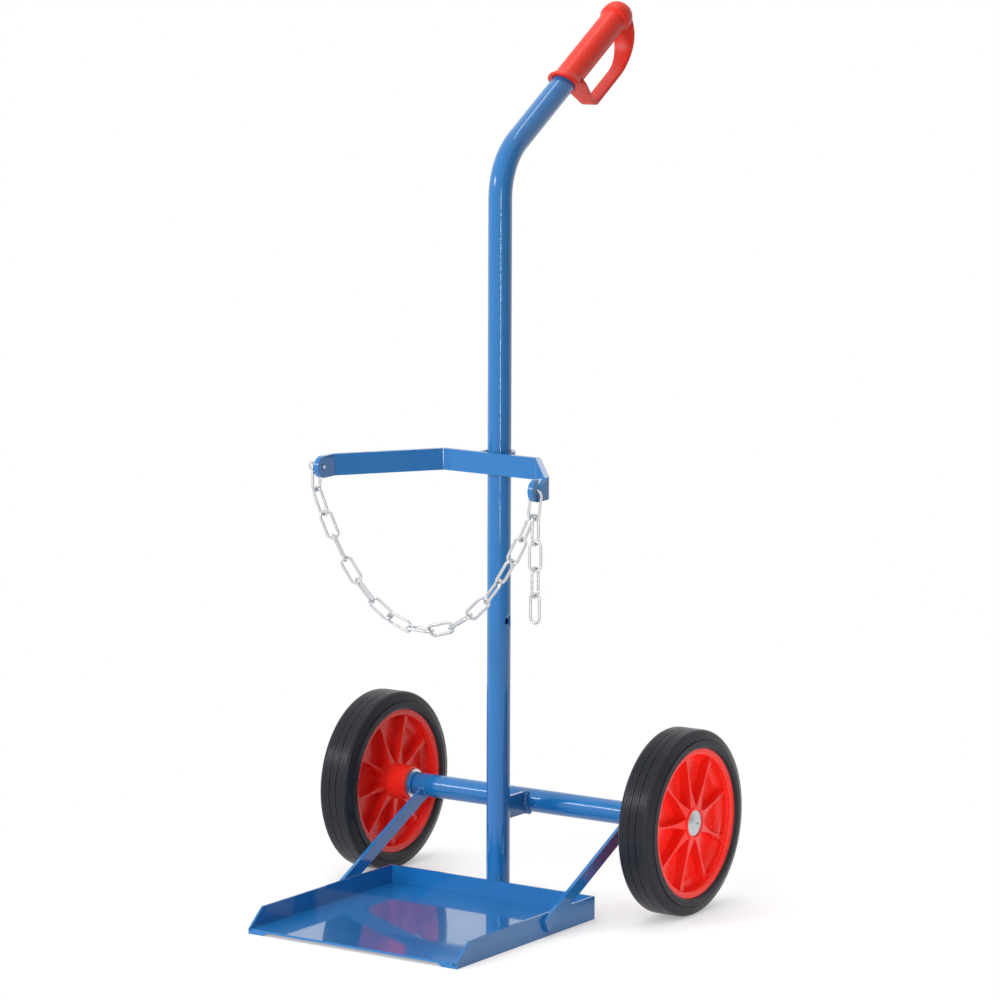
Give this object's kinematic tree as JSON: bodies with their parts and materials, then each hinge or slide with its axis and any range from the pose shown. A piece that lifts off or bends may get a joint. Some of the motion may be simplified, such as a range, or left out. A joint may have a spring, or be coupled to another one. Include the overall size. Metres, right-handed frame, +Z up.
{
  "type": "oxy acetylene torch cart",
  "caption": "Single-post hand truck for gas cylinders: low tray, rubber-tyred wheels on an axle behind the post, retaining bar with safety chain, leaning handle with guarded grip.",
  "frame": {"origin": "on the floor, on the plane of symmetry, midway between the tray's front edge and the back of the handle guard", "axes": "+Z up, -Y towards the tray's front edge, +X towards the wheel beside the slotted tab"},
  "size_m": [0.5368, 0.6526, 1.2021],
  "materials": {
    "blue_paint": "gloss",
    "red_plastic": "gloss",
    "black_rubber": "satin",
    "zinc_plate": "satin",
    "bright_steel": "gloss",
    "cage_plastic": "matte"
  },
  "bodies": {
    "frame": {"post": "blue_paint", "hand_grip": "red_plastic", "axle_tube": "blue_paint", "axle_link_plate": "blue_paint", "axle_shaft": "bright_steel", "left_end_bush": "blue_paint", "right_end_bush": "blue_paint", "left_axle_washer": "zinc_plate", "right_axle_washer": "zinc_plate", "left_hub_cap": "zinc_plate", "right_hub_cap": "zinc_plate", "tray": "blue_paint", "left_skid": "blue_paint", "right_skid": "blue_paint", "left_strut": "blue_paint", "right_strut": "blue_paint", "retaining_bar": "blue_paint", "bar_saddle": "blue_paint", "saddle_bolt": "zinc_plate", "saddle_nut": "zinc_plate", "saddle_washers": "zinc_plate", "chain_screw": "zinc_plate", "chain_screw_washer": "zinc_plate"},
    "left_wheel": {"left_rim": "red_plastic", "left_tyre": "black_rubber"},
    "left_bearing": {"left_bearing_cage": "cage_plastic", "left_bearing_rollers": "bright_steel"},
    "right_wheel": {"right_rim": "red_plastic", "right_tyre": "black_rubber"},
    "right_bearing": {"right_bearing_cage": "cage_plastic", "right_bearing_rollers": "bright_steel"},
    "chain_drape": {"chain_link_01": "zinc_plate", "chain_link_02": "zinc_plate", "chain_link_03": "zinc_plate", "chain_link_04": "zinc_plate", "chain_link_05": "zinc_plate", "chain_link_06": "zinc_plate", "chain_link_07": "zinc_plate", "chain_link_08": "zinc_plate", "chain_link_09": "zinc_plate", "chain_link_10": "zinc_plate", "chain_link_11": "zinc_plate", "chain_link_12": "zinc_plate", "chain_link_13": "zinc_plate", "chain_link_14": "zinc_plate", "chain_link_15": "zinc_plate", "chain_link_16": "zinc_plate", "chain_link_17": "zinc_plate"},
    "chain_tail": {"tail_link_1": "zinc_plate", "tail_link_2": "zinc_plate", "tail_link_3": "zinc_plate", "tail_link_4": "zinc_plate"}
  },
  "joints": [
    {"name": "left_wheel_spin", "type": "hinge", "parent": "frame", "child": "left_wheel", "pos_m": [0, 0.0922, 0.125], "axis": [1, 0, 0], "continuous": true},
    {"name": "right_wheel_spin", "type": "hinge", "parent": "frame", "child": "right_wheel", "pos_m": [0, 0.0922, 0.125], "axis": [1, 0, 0], "continuous": true},
    {"name": "left_bearing_orbit", "type": "hinge", "parent": "frame", "child": "left_bearing", "pos_m": [0, 0.0922, 0.125], "axis": [1, 0, 0], "continuous": true},
    {"name": "right_bearing_orbit", "type": "hinge", "parent": "frame", "child": "right_bearing", "pos_m": [0, 0.0922, 0.125], "axis": [1, 0, 0], "continuous": true},
    {"name": "chain_swing", "type": "hinge", "parent": "frame", "child": "chain_drape", "pos_m": [0, -0.15284, 0.59339], "axis": [0.9999, 0.0004, -0.0157], "range_deg": [-30, 30]},
    {"name": "tail_swing", "type": "hinge", "parent": "chain_drape", "child": "chain_tail", "pos_m": [0.16775, -0.15224, 0.55353], "axis": [1, 0, 0], "range_deg": [-35, 35]}
  ],
  "couplings": [
    {"joint": "left_bearing_orbit", "follows": "left_wheel_spin", "ratio": 0.6},
    {"joint": "right_bearing_orbit", "follows": "right_wheel_spin", "ratio": 0.6}
  ]
}
